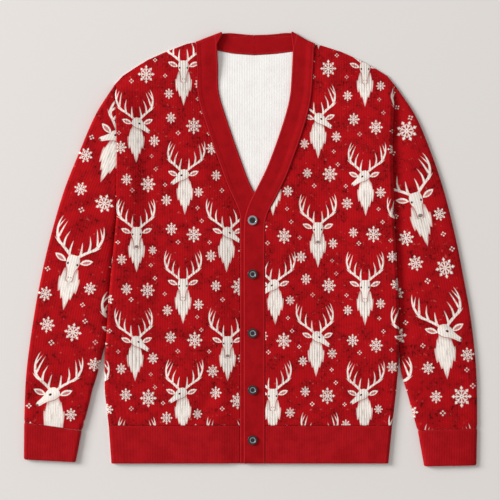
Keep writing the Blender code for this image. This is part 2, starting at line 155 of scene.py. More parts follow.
# Soft folds: x, y, direction in degrees from +X, half length, half width, height
FOLDS = (
    (-0.1720, 0.0100, 100, 0.080, 0.028, -0.0005), (-0.0740, -0.2600, 60, 0.040, 0.011, -0.0012),
    (-0.1200, -0.2300, 66, 0.060, 0.016, 0.0008), (0.1250, -0.3250, 4, 0.055, 0.020, -0.0007),
    (0.1900, -0.0500, 95, 0.090, 0.022, 0.0007), (0.1050, 0.1100, 112, 0.060, 0.018, -0.0007),
    (-0.3560, -0.2450, 38, 0.034, 0.009, -0.0010), (-0.3500, -0.2150, 40, 0.030, 0.010, 0.0009),
    (-0.3000, 0.0500, 66, 0.060, 0.014, 0.0008), (0.3550, -0.2350, 140, 0.034, 0.010, -0.0010),
    (0.3100, 0.0300, 112, 0.070, 0.014, -0.0008), (0.3300, -0.1400, 104, 0.050, 0.012, 0.0008),
    (-0.2620, 0.0760, 8, 0.034, 0.0050, -0.0006), (0.2490, 0.2710, -47, 0.012, 0.0034, -0.0007),
    (0.3460, -0.0060, 25, 0.020, 0.011, -0.0006), (0.3680, -0.1500, 30, 0.020, 0.012, -0.0006),
)

BUTTON_X = 0.0035
BUTTON_Y = (0.0486, -0.0427, -0.1428, -0.2390, -0.3240)
BUTTON_RADIUS = 0.0080
BUTTON_THICKNESS = 0.0026
DISH_RADIUS = 0.0051  # out to the slope of the rim
DISH_RING = 0.0031  # a black button's dish is painted lighter outside this radius: a painted reflection for its glints
HOLE_RADIUS = 0.0009
HOLE_OFFSET = 0.0018
BUTTON_TURNS = (0.2, 0.9, 0.5, 1.2, 0.0)  # radians
BUTTON_STEPS = ((0.0024, 0.0), (0.0009, -0.0008), (0.0012, 0.00015))  # in from the rim, and up
BUTTON_FOOT = 0.0012
BUTTON_ROUND = 0.0005
THREAD_RADIUS = 0.00042
THREAD_INTO_HOLES = 0.0008
THREAD_UP = 0.83  # share of the button's thickness that it lies up

SIGN = {"right": -1.0, "left": 1.0}
COLUMN = {"right": 1, "left": 2}  # in BODY_EDGE

# ---------------------------------------------------------------- sizes of the finer form

FRONT_COLUMNS_A_RIB = 6
BACK_COLUMNS_A_RIB = 4
FRONT_ROWS = 104
BACK_ROWS = 70
HEM_ROWS = 26
BACK_HEM_ROWS = 14
SLEEVE_TOP_COLUMNS = 250
CUFF_TOP_COLUMNS = 132
UNDERSIDE_COLUMNS = 24
SLEEVE_STEPS = 13  # rings between two rows of SLEEVE
CUFF_STEPS = 30
BAND_STEPS = 14
BAND_COLUMNS = 44
FOLD_STEPS = 12
NECK_STEPS = 8
MEETING_STEPS = 4
SIDE_FOLD_TURNS = (-72, -48, -24, 0, 24, 48, 72)  # degrees of the points round a sleeve's side fold
RIB_PROFILE_POWER = 0.6  # under 1 makes broad ribs with narrow valleys between them
RIB_MEAN = 0.6  # share of their height that the flattened ribs have beside a seam
RIB_FADE = 0.003  # over which they flatten
SLEEVE_RIB_HEIGHT = 0.0002
TOP_RIB_HEIGHT = {"printed": 0.00030, "trim": 0.00028}  # ribs of the fronts, and of the hem and cuffs
SOFT_EDGE = 0.0020  # how far in a cut or folded edge is rounded
SOFT_EDGE_ROWS = (0.0, 0.0004, 0.0010, 0.0016)  # rows or columns that carry that round
EDGE_THINNEST = 0.50  # share of the wall left at the very edge
FOLD_DEPTH = 2.3  # how much deeper the soft folds are than in the solids
LOFT = 0.0014  # how much higher the fronts and sleeves lie away from their edges
SIDE_ROUND = {"right": 0.0045, "left": 0.0055}  # over which a front comes down to the back at its side
SEAM_BANK = 0.005  # over which it comes down to the sleeve at the armhole
BANK_SHARE = {"right": 0.0, "left": 0.88}  # share of its height that it loses there
# The soft roll beside the side and the armhole: its height and the width over which it falls away
# towards the middle, below the armpit and then above it
ROLL = {"right": ((0.0052, 0.074), (0.0066, 0.044)), "left": ((0.0072, 0.110), (0.0072, 0.110))}
ROLL_IN = {"right": 0.014, "left": 0.0050}  # how far in from the edge its crest begins
ROLL_CHANGE = 0.08  # how far up from y = 0 it changes
ROLL_ENDS = {"right": (-0.225, 0.290), "left": (-0.235, 0.285)}  # y of its lower and upper end
ROLL_FADE = (0.07, 0.045)  # y over which it begins at the lower end and ends at the upper one
SLEEVE_LIFT = {"right": 0.66, "left": 0.0}  # share of the roll's height that the sleeve beside it has
LIFT_WIDE = 0.115
SINK = {"right": 0.0, "left": 0.92}  # share of a sleeve's thickness lost beside the roll
SINK_WIDE = 0.034
LEVEL_WIDE = 0.02  # over which a sleeve comes level with the front beside it
OUTER_POWER = {"right": 80.0, "left": 4.0}  # how squarely a sleeve turns down at its outer side
INNER_POWER = {"right": (14.0, 34.0), "left": (4.0, 20.0)}  # and inside, beside the roll and below
NECK_FOLD = {"right": 0.0026, "left": 0.0011}  # radius of a band's fold at the shoulder
NECK_SPREAD = {"right": (0.270, 0.325), "left": (0.095, 0.200)}  # y over which the bands come level
NECK_RISE = (0.280, 0.062)  # y where a band begins to rise to its fold, and over how far
BAND_SHEET = BAND_WALL - 0.0003  # its wall between the stitched lines
BEAD_IN = 0.0019  # the stitched line along a band's edges
BEAD_HALF = 0.0010
BEAD_HEIGHT = 0.0005
BACK_RIB_HEIGHT = 0.0003
BACK_TURN = 0.053  # width of the back's columns, at each side, that turn with the body's edge
SEAM_RIDGE = {"right": 0.0005, "left": 0.0021}  # height of the folded seam under a band's sewn edge
SEAM_RIDGE_WIDTH = {"right": 0.0085, "left": 0.0160}
SEAM_RIDGE_SLOPE = {"right": 0.002, "left": 0.0110}
RIDGE_RISE = (0.02, 0.12)  # y where that ridge begins, and over how far
CROWN = {"right": 0.0012, "left": 0.0}  # how far a band slopes down to its sewn edge at the shoulder
CROWN_IN, CROWN_SLOPE = 0.016, 0.013  # the slope's inner end, and its width
CROWN_RISE = (0.275, 0.045)
SLEEVE_PRINT_SCALE = 1.28  # how much larger the print is on the sleeves

# ---------------------------------------------------------------- small helpers


def ramp(value, start=0.0, run=1.0):
    """0 up to the start, 1 once the run is over, and a soft slope between."""
    t = np.clip((value - start) / run, 0.0, 1.0)
    return t * t * (3.0 - 2.0 * t)


def smooth_path(points, steps):
    """Points on a curve through the given ones, with this many steps between two of them."""
    given = np.array(points, float)
    ends = np.vstack([2 * given[0] - given[1], given, 2 * given[-1] - given[-2]])
    t = (np.arange(steps) / steps)[:, None]
    runs = []
    for i in range(len(given) - 1):
        before, start, stop, after = ends[i : i + 4]
        square = 2 * before - 5 * start + 4 * stop - after
        cube = 3 * start - before - 3 * stop + after
        runs.append(0.5 * (2 * start + (stop - before) * t + square * t**2 + cube * t**3))
    return np.vstack([*runs, given[-1:]])


def distances(line):
    """How far along a line of points each of them is."""
    steps = np.linalg.norm(np.diff(line, axis=0), axis=1)
    return np.concatenate([[0.0], np.cumsum(steps)])


def unit(vectors):
    return vectors / np.linalg.norm(vectors, axis=-1, keepdims=True)


def with_soft_ends(start, stop, count):
    """Places from start to stop, evenly spaced but for those that carry the round at both ends."""
    way = np.sign(stop - start)
    inner = np.linspace(start + way * SOFT_EDGE, stop - way * SOFT_EDGE, count)
    ends = np.array(SOFT_EDGE_ROWS)
    return np.concatenate([start + way * ends, inner, stop - way * ends[::-1]])


def soft_edge(distance):
    """Share of the wall at a distance from an edge: a quarter round."""
    t = np.clip(1 - distance / SOFT_EDGE, 0.0, 1.0)
    return EDGE_THINNEST + (1 - EDGE_THINNEST) * np.sqrt(1 - t * t)


def ribs_by(edges, ribs):
    """The ribs, flattened beside an edge."""
    return RIB_MEAN + (ribs - RIB_MEAN) * ramp(edges / RIB_FADE)


def rib_share(across):
    """Share of a rib's height at a distance across the ribs."""
    return np.abs(np.sin(math.pi * across / RIB_PITCH)) ** RIB_PROFILE_POWER


def folds(x, y):
    """Height of the soft folds and of the loft at a place on the cloth."""
    height = np.full(np.broadcast(x, y).shape, LOFT / FOLD_DEPTH)
    for fold_x, fold_y, degrees, half_length, half_width, rise in FOLDS:
        turn = math.radians(degrees)
        along = (x - fold_x) * math.cos(turn) + (y - fold_y) * math.sin(turn)
        across = (y - fold_y) * math.cos(turn) - (x - fold_x) * math.sin(turn)
        height += rise * np.exp(-((along / half_length) ** 2) - (across / half_width) ** 2)
    return height * FOLD_DEPTH


# ---------------------------------------------------------------- the garment's form


def body_edge(side, y):
    table = np.array(BODY_EDGE)
    return np.interp(y, table[:, 0], table[:, COLUMN[side]])


def band_seam(side):
    return smooth_path((*BAND_SEAM[side], NECK_BAND[side][0][:2]), BAND_STEPS)


def band_low(side, y):
    """Height of a front band's inside: apart where the bands cross, level above, up to its fold."""
    start = {"right": UNDER_BAND_LOW, "left": TOP_BAND_LOW}[side]
    low, high = NECK_SPREAD[side]
    rise = 2 * (NECK_FOLD[side] - FOLD_RADIUS) * ramp(y, *NECK_RISE)
    return start + (NECK_BAND_LOW - start) * ramp(y, low, high - low) + rise


def roll_run(side, y):
    """Share of the roll beside the armhole and the side at a height on the body."""
    (low, high), (fade_low, fade_high) = ROLL_ENDS[side], ROLL_FADE
    return ramp(y, low, fade_low) * ramp((high - y) / fade_high)


def roll_size(side, y):
    """The roll's height, and the width over which it falls away, at a height on the body."""
    (height, wide), (upper_height, upper_wide) = ROLL[side]
    up = ramp(y / ROLL_CHANGE)
    return (height + (upper_height - height) * up) * roll_run(side, y), wide + (upper_wide - wide) * up


def front_low(side, x, y, seam):
    """Height of a front's inside, level with the band, the back or the sleeve at its edges."""
    beside_sleeve = ramp(y, ARMPIT_Y, ARMPIT_RISE)
    from_edge = np.abs(body_edge(side, y) - x)
    at_side = (1 - beside_sleeve) * (1 - ramp(from_edge / SIDE_ROUND[side]))
    bank = np.sqrt(np.clip(from_edge / SEAM_BANK, 0, 1))
    at_armhole = beside_sleeve * BANK_SHARE[side] * (1 - bank)
    shoulder_x, shoulder_y = np.array(SHOULDER[side]).T
    below_shoulder = ramp((np.interp(np.abs(x), shoulder_x, shoulder_y) - y) / EDGE_ROUND)
    share = below_shoulder * (1 - at_side - at_armhole)
    roll_height, roll_wide = roll_size(side, y)
    roll = roll_height * (1 - ramp(from_edge, ROLL_IN[side], roll_wide))
    open_height = FRONT_LOW + share * (FRONT_PUFF + folds(x, y) + roll)
    from_band = np.abs(x - np.interp(y, seam[:, 1], seam[:, 0]))
    by_band = (1 - ramp(from_band / BAND_ROUND)) * below_shoulder
    return open_height + (band_low(side, y) - open_height) * by_band


# ---------------------------------------------------------------- cloth


def select_only(piece=None):
    bpy.ops.object.select_all(action="DESELECT")
    if piece:
        piece.select_set(True)
        bpy.context.view_layer.objects.active = piece


def apply_place():
    bpy.ops.object.transform_apply(location=True, rotation=True, scale=True)


def add_map(piece, name, pair):
    """A UV map, in metres, from across and along at each point."""
    layer = piece.data.uv_layers.new(name=name)
    corners = np.empty(len(piece.data.loops), np.int32)
    piece.data.loops.foreach_get("vertex_index", corners)
    places = np.stack(pair, axis=-1).reshape(-1, 2)
    layer.data.foreach_set("uv", places[corners].astype(np.float32).ravel())


def cloth(node, grids, upper, under, flip=None, tube=False):
    """A knitted piece from rows of points on the inside of its wall. The grids are x, y, the height, the
    wall's thickness, and across and along on the knit and on the print map. They are turned over on the
    flip axis where their order would make the piece face down."""
    grids = np.broadcast_arrays(*grids)
    if flip is not None:
        grids = [np.flip(grid, flip) for grid in grids]
    x, y, low, wall, *maps = grids
    rows, columns = x.shape
    select_only()
    bpy.ops.mesh.primitive_grid_add(x_subdivisions=columns - 1, y_subdivisions=rows - 1, size=1)
    piece = bpy.context.object
    piece.name = piece.data.name = f"{node}_knit"
    piece.data.vertices.foreach_set("co", np.stack([x, y, low], axis=-1).astype(np.float32).ravel())
    piece.data.update()
    piece.data.uv_layers.remove(piece.data.uv_layers[0])
    add_map(piece, "knit", maps[:2])
    add_map(piece, "print", maps[2:])
    if tube:
        bpy.ops.object.mode_set(mode="EDIT")
        bpy.ops.mesh.select_all(action="SELECT")
        bpy.ops.mesh.remove_doubles(threshold=1e-6)
        bpy.ops.mesh.normals_make_consistent(inside=False)
        bpy.ops.object.mode_set(mode="OBJECT")
        wall = wall[:, :-1]
    thickest = float(wall.max())
    group = piece.vertex_groups.new(name="wall")
    for i, thickness in enumerate(wall.ravel() / thickest):
        group.add([i], float(thickness), "REPLACE")
    for name in (upper, under):
        piece.data.materials.append(finish(name))
    shell = piece.modifiers.new("wall", "SOLIDIFY")
    shell.thickness = thickest
    shell.offset = 1.0
    shell.vertex_group = "wall"
    shell.material_offset = 1
    bpy.ops.object.modifier_apply(modifier="wall")
    piece.vertex_groups.clear()
    bpy.ops.object.shade_smooth_by_angle(angle=math.radians(50))
    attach(piece, "root")
    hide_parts(node)
    return piece


class Panel:
    """The columns of a flat piece: ribs run straight up, and the outer ones follow the body's edge."""

    def __init__(self, width, columns_a_rib):
        self.width = width
        self.across = with_soft_ends(0.0, width, round(width / RIB_PITCH) * columns_a_rib)

    def meet(self, line_x, line_y, sign=1.0):
        """The y where each column meets a line. A column's x changes with y, so it is found in steps."""
        y = np.full(len(self.across), SHOULDER_TIP_Y)
        for _ in range(MEETING_STEPS):
            y = np.interp(sign * self.x(self.across, y), line_x, line_y)
        return y

    def grid(self, bottom, tops, rows):
        """x, y, across and the distance from the nearest edge, from the bottom to each column's top."""
        y = bottom + np.stack([with_soft_ends(0.0, span, rows) for span in tops - bottom], axis=1)
        across = np.broadcast_to(self.across, y.shape)
        edges = np.minimum(np.minimum(y - bottom, tops - y), np.minimum(across, self.width - across))
        return self.x(across, y), y, across, edges


class Front(Panel):
    """One front, from its band to the body's edge."""

    def __init__(self, side):
        self.side = side
        self.seam = band_seam(side)
        self.start = BAND_SEAM[side][0][0] + SIGN[side] * CLOSE
        self.stop = float(body_edge(side, ARMPIT_Y))
        super().__init__(abs(self.stop - self.start), FRONT_COLUMNS_A_RIB)

    def x(self, across, y):
        turned = ramp(across / self.width, 1 - EDGE_SHARE, EDGE_SHARE)
        return self.start + SIGN[self.side] * across + turned * (body_edge(self.side, y) - self.stop)

    def tops(self):
        """The y where each column meets the neck or the shoulder."""
        rising = self.seam[self.seam[:, 1] > 0]
        neck_x = np.abs(rising[:, 0] + SIGN[self.side] * CLOSE)
        shoulder_x, shoulder_y = np.array(SHOULDER[self.side]).T
        line_x = np.maximum.accumulate([*neck_x, *shoulder_x])
        return self.meet(line_x, [*rising[:, 1], *shoulder_y], SIGN[self.side])

    def panel(self, node, outside, bottom, tops, rows):
        """A piece of this front between a straight bottom and the given top of each column."""
        x, y, across, edges = self.grid(bottom, tops, rows)
        low = front_low(self.side, x, y, self.seam)
        wall = (WALL + TOP_RIB_HEIGHT[outside] * ribs_by(edges, rib_share(across))) * soft_edge(edges)
        flip = {"right": 1, "left": None}[self.side]
        return cloth(node, (x, y, low, wall, across, y, x, y), outside, "inside", flip)


class Back(Panel):
    """The back, from one side of the body to the other."""

    def __init__(self):
        self.right, self.left = (float(body_edge(side, ARMPIT_Y)) for side in ("right", "left"))
        super().__init__(self.left - self.right, BACK_COLUMNS_A_RIB)

    def x(self, across, y):
        at_right = ramp(1 - across / BACK_TURN)
        at_left = ramp(1 - (self.width - across) / BACK_TURN)
        moved = at_right * (body_edge("right", y) - self.right)
        moved += at_left * (body_edge("left", y) - self.left)
        return self.right + across + moved

    def tops(self):
        """The y where each column meets a shoulder or the band behind the neck."""
        line = [(-x, y) for x, y in SHOULDER["right"][::-1]]
        for side in ("right", "left"):
            fold_x, fold_y = NECK_BAND[side][0][:2]
            part = [(fold_x + SIGN[side] * BESIDE_CURVE, fold_y - BESIDE_CURVE)]
            part += [(row[0], row[1] - BESIDE_CURVE) for row in NECK_BAND[side][1:]]
            line += part if side == "right" else part[::-1]
        return self.meet(*np.array([*line, *SHOULDER["left"]]).T)

    def panel(self, node, outside, bottom, tops, rows):
        """A piece of the back, face down: its outside is below."""
        x, y, across, edges = self.grid(bottom, tops, rows)
        wall = (WALL - BACK_RIB_HEIGHT * (1 - rib_share(across))) * soft_edge(edges)
        return cloth(node, (x, y, 0.0, wall, across, y, -x, y), "inside", outside)


def panel_and_hem(form, nodes, rows):
    """A printed panel and the rib hem below it: nodes and rows are for the one and then the other."""
    bottom, tops = HEM_SEAM_Y + SEAM_GAP / 2, form.tops()
    piece = form.panel(nodes[0], "printed", bottom, tops, rows[0])
    tops = np.full(len(form.across), HEM_SEAM_Y - SEAM_GAP / 2)
    piece = form.panel(nodes[1], "trim", HEM_BOTTOM_Y, tops, rows[1])


def inset(line, toward):
    """A side fold's line moved in by the wall's thickness. toward is the sign of that way's X."""
    steps = unit(np.gradient(line, axis=0))
    inward = np.column_stack([-steps[:, 1], steps[:, 0]])
    return line + inward * np.sign(inward[:, :1]) * toward * WALL


class Tube:
    """A flattened tube between the lines of its two side folds, the outer one and the inner one."""

    def __init__(self, side, outer, inner, top_columns):
        self.side, self.outer = side, outer
        starts, stops = inset(outer, -SIGN[side]), inset(inner, SIGN[side])
        self.width = np.linalg.norm(stops - starts, axis=1)
        inward = unit(stops - starts)[:, None, :]
        radius = TUBE_GAP / 2
        turns = np.radians(SIDE_FOLD_TURNS)
        # round the ring: the underside inwards, up round the inner fold, the top outwards, down again
        first, last = starts[:, None] + inward * radius, stops[:, None] - inward * radius
        under = first + (last - first) * np.linspace(0, 1, UNDERSIDE_COLUMNS + 1)[None, :, None]
        t = np.linspace(1, 0, top_columns + 1)
        top = first + (last - first) * t[None, :, None]
        bend = inward * (radius * np.cos(turns))[None, :, None]
        places = np.concatenate([under, last + bend, top, first - bend, under[:, :1]], axis=1)
        self.x, self.y = places[..., 0], places[..., 1]
        fold_low = WALL + radius + radius * np.sin(turns)
        top_low = WALL + TUBE_GAP + self.top_height(top[..., 0], top[..., 1], t)
        low = [[WALL] * (UNDERSIDE_COLUMNS + 1), fold_low, top_low, fold_low[::-1], [WALL]]
        low = [np.broadcast_to(part, (len(outer), np.shape(part)[-1])) for part in low]
        self.low = np.concatenate(low, axis=1)
        up = 0.5 + 0.5 * np.sin(turns)
        ribbed = [np.zeros(UNDERSIDE_COLUMNS + 1), up, np.ones(top_columns + 1), up[::-1], [0.0]]
        self.ribbed = np.concatenate(ribbed)

    def top_height(self, x, y, t):
        """Height of the top's inside over the gap at the folds, where t is 1 inside and 0 outside."""
        side = self.side
        run = roll_run(side, y)
        beside, below = INNER_POWER[side]
        power = np.where(t < 0.5, OUTER_POWER[side], below + (beside - below) * run)
        rounding = np.sqrt(np.clip(1 - np.abs(2 * t - 1) ** power, 0, 1))
        from_body = np.abs(x) - np.abs(body_edge(side, y))
        sunk = SINK[side] * run * (1 - ramp(from_body / SINK_WIDE))
        lift = SLEEVE_LIFT[side] * roll_size(side, y)[0] * (1 - ramp(from_body / LIFT_WIDE))
        level = (WALL + TUBE_GAP + TUBE_PUFF - FRONT_LOW - FRONT_PUFF) * (1 - ramp(from_body / LEVEL_WIDE))
        return rounding * ((TUBE_PUFF + folds(x, y) + lift) * (1 - sunk) - level)

    def along(self):
        """Distance in from the outer fold, and distance down along it, at each point of the rings."""
        lengths = distances(self.outer)
        best, down = np.full(self.x.shape, np.inf), np.zeros(self.x.shape)
        for start, stop, length, span in zip(self.outer[:-1], self.outer[1:], lengths, np.diff(lengths)):
            way = (stop - start) / span
            off_x, off_y = self.x - start[0], self.y - start[1]
            t = np.clip(off_x * way[0] + off_y * way[1], 0, span)
            distance = np.hypot(off_x - t * way[0], off_y - t * way[1])
            closer = distance < best
            best = np.where(closer, distance, best)
            down = np.where(closer, length + t, down)
        return best, down

    def piece(self, node, outside, rib_height, scale):
        """The tube as a piece of cloth with ribs along it, and its print this much larger."""
        inward, down = self.along()
        ribs = 0.5 - 0.5 * np.cos(2 * math.pi * inward / RIB_PITCH)
        steps = np.hypot(np.gradient(self.x, axis=0), np.gradient(self.y, axis=0))
        from_start = np.cumsum(steps, axis=0) - steps[0]
        edges = np.minimum(from_start, from_start[-1] - from_start)
        wall = (WALL + rib_height * ribs_by(edges, ribs) * self.ribbed) * soft_edge(edges)
        across = np.where(self.ribbed > 0, inward, -inward)
        across[:, -1] = 0.0
        shown = -SIGN[self.side] * across
        grids = (self.x, self.y, self.low, wall, across, -down, shown / scale, -down / scale)
        flip = {"right": None, "left": 0}[self.side]
        return cloth(node, grids, outside, "inside", flip, tube=True)


def sleeve(side):
    rows = smooth_path(SLEEVE[side], SLEEVE_STEPS)
    outer = rows[:, :2]
    inner = np.column_stack([body_edge(side, rows[:, 2]) + SIGN[side] * rows[:, 3], rows[:, 2]])
    tube = Tube(side, outer, inner, SLEEVE_TOP_COLUMNS)
    # the first ring lies on the armhole seam, and further off at the armpit's fold
    off_fold = WALL * (1 - ramp(tube.y[0], ARMPIT_Y, ARMPIT_ROUND))
    tube.x[0] = body_edge(side, tube.y[0]) + SIGN[side] * (CLOSE + off_fold)
    piece = tube.piece(f"sleeve_{side}", "sleeve", SLEEVE_RIB_HEIGHT, SLEEVE_PRINT_SCALE)


def cuff(side):
    rows = smooth_path(CUFF[side], CUFF_STEPS)
    tube = Tube(side, rows[:, :2], rows[:, 2:], CUFF_TOP_COLUMNS)
    piece = tube.piece(f"cuff_{side}", "trim", TOP_RIB_HEIGHT["trim"], 1.0)


def band_lines(side):
    """Sewn and free edge of a band, the height of its inside, and 1 in front, row by row."""
    seam = band_seam(side)
    step = np.empty_like(seam)
    step[1:-1] = seam[2:] - seam[:-2]
    step[0], step[-1] = seam[1] - seam[0], seam[-1] - seam[-2]
    step = unit(step)
    free = seam + np.column_stack([step[:, 1], -step[:, 0]]) * -SIGN[side] * BAND_WIDTH
    rows = [np.column_stack([seam, free, band_low(side, seam[:, 1]), np.ones(len(seam))])[:-1]]
    fold = np.array(NECK_BAND[side][0])
    line = unit(fold[2:] - fold[:2])
    outward = np.array([-line[1], line[0]]) * -SIGN[side]
    radius = NECK_FOLD[side]
    for turn in np.linspace(math.pi / 2, -math.pi / 2, FOLD_STEPS + 1):
        shift = outward * (radius * math.cos(turn) - (radius - FOLD_RADIUS))
        up = 1 + math.sin(turn)
        rows.append([[*(fold[:2] + shift), *(fold[2:] + shift), BAND_WALL + radius * up, up / 2]])
    behind = smooth_path(NECK_BAND[side], NECK_STEPS)[1:]
    level = np.full(len(behind), BAND_WALL)
    rows.append(np.column_stack([behind, level, np.zeros(len(behind))]))
    return np.vstack(rows)


def band(side):
    lines = band_lines(side)
    ends = np.repeat(lines[:1], len(SOFT_EDGE_ROWS), axis=0)
    ends[:, [1, 3]] += np.array(SOFT_EDGE_ROWS)[:, None]
    rows = np.vstack([ends, lines[1:]])
    seam, free, low, in_front = rows[:, :2], rows[:, 2:4], rows[:, 4:5], rows[:, 5:]
    seam_y = seam[:, 1:]
    wide = np.linalg.norm(free - seam, axis=1)[:, None]
    share = with_soft_ends(0.0, BAND_WIDTH, BAND_COLUMNS) / BAND_WIDTH
    places = seam[:, None] + (free - seam)[:, None] * share[None, :, None]
    along = distances((seam + free) / 2)[:, None]
    across = share[None, :] * wide
    side_edge = np.minimum(across, wide - across)
    ridge = ramp((SEAM_RIDGE_WIDTH[side] - across) / SEAM_RIDGE_SLOPE[side])
    ridge = ridge * SEAM_RIDGE[side] * ramp(seam_y, *RIDGE_RISE)
    crown = CROWN[side] * ramp((CROWN_IN - across) / CROWN_SLOPE) * ramp(seam_y, *CROWN_RISE)
    bead = BEAD_HEIGHT * np.exp(-(((side_edge - BEAD_IN) / BEAD_HALF) ** 2))
    wall = (BAND_SHEET + (bead + ridge - crown) * in_front) * soft_edge(np.minimum(side_edge, along))
    grids = (places[..., 0], places[..., 1], low, wall, across, along, across, along)
    flip = {"right": None, "left": 1}[side]
    piece = cloth(f"band_{side}", grids, "band", "band", flip)


# ---------------------------------------------------------------- buttons


def select_faces(piece, wanted):
    """Selects, in edit mode, the faces whose middle and normal are wanted."""
    bpy.ops.mesh.select_mode(type="FACE")
    bpy.ops.mesh.select_all(action="DESELECT")
    bpy.ops.object.mode_set(mode="OBJECT")
    for face in piece.data.polygons:
        face.select = wanted(face)
    bpy.ops.object.mode_set(mode="EDIT")


def cut_away(piece, cutter):
    """Cuts the cutter out of the piece and removes the cutter."""
    cut = piece.modifiers.new("cut", "BOOLEAN")
    cut.operation = "DIFFERENCE"
    cut.solver = "EXACT"
    cut.object = cutter
    bpy.context.view_layer.objects.active = piece
    bpy.ops.object.modifier_apply(modifier="cut")
    bpy.data.objects.remove(cutter, do_unlink=True)


def round_bar(vertices, radius, depth, place, turn=(0, 0, 0)):
    """A short round bar, with its place in its mesh."""
    bpy.ops.mesh.primitive_cylinder_add(
        vertices=vertices, radius=radius, depth=depth, location=place, rotation=turn
    )
    apply_place()
    return bpy.context.object


def turned_button(rim, dish, inner):
    """A button on z = 0: a rounded rim, a dish with sloping sides and four holes. The dish has a
    finish of its own, from the inner radius out to its rim."""
    select_only()
    piece = round_bar(72, BUTTON_RADIUS, BUTTON_THICKNESS, (0, 0, BUTTON_THICKNESS / 2))
    bpy.ops.object.mode_set(mode="EDIT")
    select_faces(piece, lambda face: face.normal.z > 0.9)
    for thickness, depth in BUTTON_STEPS:
        bpy.ops.mesh.inset(thickness=thickness, depth=depth)
    select_faces(piece, lambda face: face.normal.z < -0.9)
    bpy.ops.mesh.inset(thickness=BUTTON_FOOT)
    bpy.ops.object.mode_set(mode="OBJECT")
    bevel = piece.modifiers.new("round", "BEVEL")
    bevel.width = BUTTON_ROUND
    bevel.segments = 4
    bevel.limit_method = "ANGLE"
    bevel.angle_limit = math.radians(18)
    bpy.ops.object.modifier_apply(modifier="round")
    for i in range(4):
        turn = math.tau * (i + 0.5) / 4
        select_only()
        place = (HOLE_OFFSET * math.cos(turn), HOLE_OFFSET * math.sin(turn), 0)
        cut_away(piece, round_bar(20, HOLE_RADIUS, 4 * BUTTON_THICKNESS, place))
    for name in (rim, dish):
        piece.data.materials.append(finish(name))
    for face in piece.data.polygons:
        reach = math.hypot(face.center.x, face.center.y)
        face.material_index = int(face.normal.z > 0.3 and inner <= reach < DISH_RADIUS)
    select_only(piece)
    bpy.ops.object.shade_smooth_by_angle(angle=math.radians(35))
    return piece


def stitch_thread():
    """Two stitches of thread between the holes, low in the dish."""
    off = HOLE_OFFSET * math.sin(math.pi / 4)
    stitches = []
    for way in (-1, 1):
        select_only()
        length = 2 * HOLE_OFFSET * math.cos(math.pi / 4) + THREAD_INTO_HOLES
        stitches.append(round_bar(10, THREAD_RADIUS, length, (0, way * off, 0), (0, math.pi / 2, 0)))
    stitches[0].select_set(True)
    bpy.ops.object.join()
    piece = bpy.context.object
    piece.data.materials.append(finish("thread"))
    bpy.ops.object.shade_smooth_by_angle(angle=math.radians(40))
    return piece


def copy_to(source, name, height, y, turn):
    """A copy of a piece with its own mesh, turned about its middle and moved to its place."""
    piece = source.copy()
    piece.data = source.data.copy()
    piece.name = name
    bpy.context.scene.collection.objects.link(piece)
    piece.rotation_euler = (0.0, 0.0, turn)
    piece.location = (BUTTON_X, y, height)
    select_only(piece)
    apply_place()
    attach(piece, "root")
    return piece


def buttons():
    """Five sewn-on buttons down the top band."""
    grey = turned_button("grey_button", "button", 0.0)
    # Its dish carries a painted reflection: a light grey ring of glints
    black = turned_button("button", "dish", DISH_RING)
    thread = stitch_thread()
    for i, (y, turn) in enumerate(zip(BUTTON_Y, BUTTON_TURNS), 1):
        node = f"button_{i}"
        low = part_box(node)[0][2]
        piece = copy_to(grey if i == 1 else black, f"shank_{node}", low, y, turn)
        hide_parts(node)
        copy_to(thread, f"thread_{i}", low + THREAD_UP * BUTTON_THICKNESS, y, turn)
    for helper in (grey, black, thread):
        bpy.data.objects.remove(helper, do_unlink=True)


# ---------------------------------------------------------------- numbers in a finish

METRE = 1000.0  # millimetres
INK_BLUR = 0.7  # millimetres over which ink fades out at its edge


def joined_by(kind):
    """How a Math node of this kind joins two numbers."""
    return lambda number, other: Number.work(kind, number, other)


class Number:
    """A number that Math nodes work out at each point of a finish."""

    tree = None  # the node tree that is drawn on

    def __init__(self, socket):
        self.socket = socket

    @classmethod
    def work(cls, kind, *parts, clamp=False):
        return cls(add_node("Math", enumerate(parts), operation=kind, use_clamp=clamp).outputs[0])

    __add__ = __radd__ = joined_by("ADD")
    __mul__ = __rmul__ = joined_by("MULTIPLY")
    __sub__ = joined_by("SUBTRACT")
    __truediv__ = joined_by("DIVIDE")
    __lt__ = joined_by("LESS_THAN")
    __gt__ = joined_by("GREATER_THAN")

    def __rsub__(self, other):
        return Number.work("SUBTRACT", other, self)

    def __abs__(self):
        return Number.work("ABSOLUTE", self)


def add_node(kind, entries=(), **settings):
    """A node in the tree that is drawn on, with its settings and what goes into its inputs."""
    node = Number.tree.nodes.new(f"ShaderNode{kind}")
    for name, setting in settings.items():
        setattr(node, name, setting)
    feed_all(node, entries)
    return node


def feed_all(node, entries):
    for entry, part in dict(entries).items():
        feed(node.inputs[entry], part)


def feed(entry, part):
    """Gives a node's input a number, a colour or another node's output."""
    if isinstance(part, Number):
        part = part.socket
    if isinstance(part, bpy.types.NodeSocket):
        Number.tree.links.new(part, entry)
    elif isinstance(part, tuple):
        entry.default_value = (*part, 1.0)
    else:
        entry.default_value = part


fraction, floor, root, sine, cosine, least = (
    partial(Number.work, kind) for kind in ("FRACT", "FLOOR", "SQRT", "SINE", "COSINE", "MINIMUM")
)


def most(*parts):
    """The largest of the numbers."""
    first, *others = parts
    for other in others:
        first = Number.work("MAXIMUM", first, other)
    return first


def choose(yes, a, b):
    """a where yes is 1, and b where it is 0."""
    return b + yes * (a - b)


def soft_step(value, low, high):
    """0 below low, 1 above high, and a soft slope between."""
    entries = {"Value": value, "From Min": low, "From Max": high}
    return Number(add_node("MapRange", entries, interpolation_type="SMOOTHSTEP").outputs["Result"])


